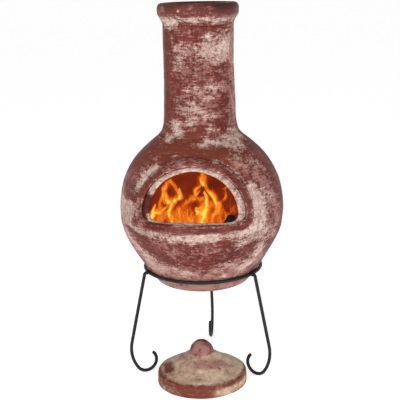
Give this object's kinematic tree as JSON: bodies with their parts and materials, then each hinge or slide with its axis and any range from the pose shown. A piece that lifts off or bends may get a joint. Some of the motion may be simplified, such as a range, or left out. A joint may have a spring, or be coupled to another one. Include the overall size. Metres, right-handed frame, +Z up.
{
  "type": "chiminea",
  "caption": "Clay garden chiminea with a round fire bowl, arched mouth and tall collared neck, on a three-legged wire stand, with its loose domed lid on the floor in front.",
  "frame": {"origin": "on the floor, under the pot's vertical axis", "axes": "+Z up, mouth facing -Y, +X to the right of someone facing the mouth"},
  "size_m": [0.4894, 0.5153, 1.1],
  "materials": {
    "pot_clay": "fired clay, maroon wash rubbed back to cream",
    "mouth_clay": "fired clay, maroon wash, edges rubbed pale",
    "collar_clay": "fired clay, maroon wash, waxed",
    "lid_clay": "fired clay, cream wash over maroon",
    "stand_black": "satin black paint",
    "sand": "dry sand, sooty",
    "charred_wood": "charred and cracked",
    "glowing_coal": "charcoal, glowing in its cracks"
  },
  "bodies": {
    "stand": {"stand_ring": "stand_black", "ring_weld": "stand_black", "left_leg": "stand_black", "right_leg": "stand_black", "rear_leg": "stand_black", "leg_welds": "stand_black"},
    "pot": {"fire_bowl": "pot_clay", "mouth_surround": "mouth_clay", "flue_neck": "pot_clay", "rim_collar": "collar_clay", "sand_bed": "sand", "log_1": "charred_wood", "log_2": "charred_wood", "log_3": "charred_wood", "log_4": "charred_wood", "charcoal": "glowing_coal"},
    "lid": {"lid_cap": "lid_clay", "lid_knob": "lid_clay"}
  },
  "joints": [
    {"name": "pot_lift", "type": "slide", "parent": "stand", "child": "pot", "axis": [0, 0, 1], "range_m": [0, 0.3]},
    {"name": "lid_lift", "type": "slide", "parent": "stand", "child": "lid", "axis": [0, -0.7071, 0.7071], "range_m": [0, 0.5]}
  ]
}
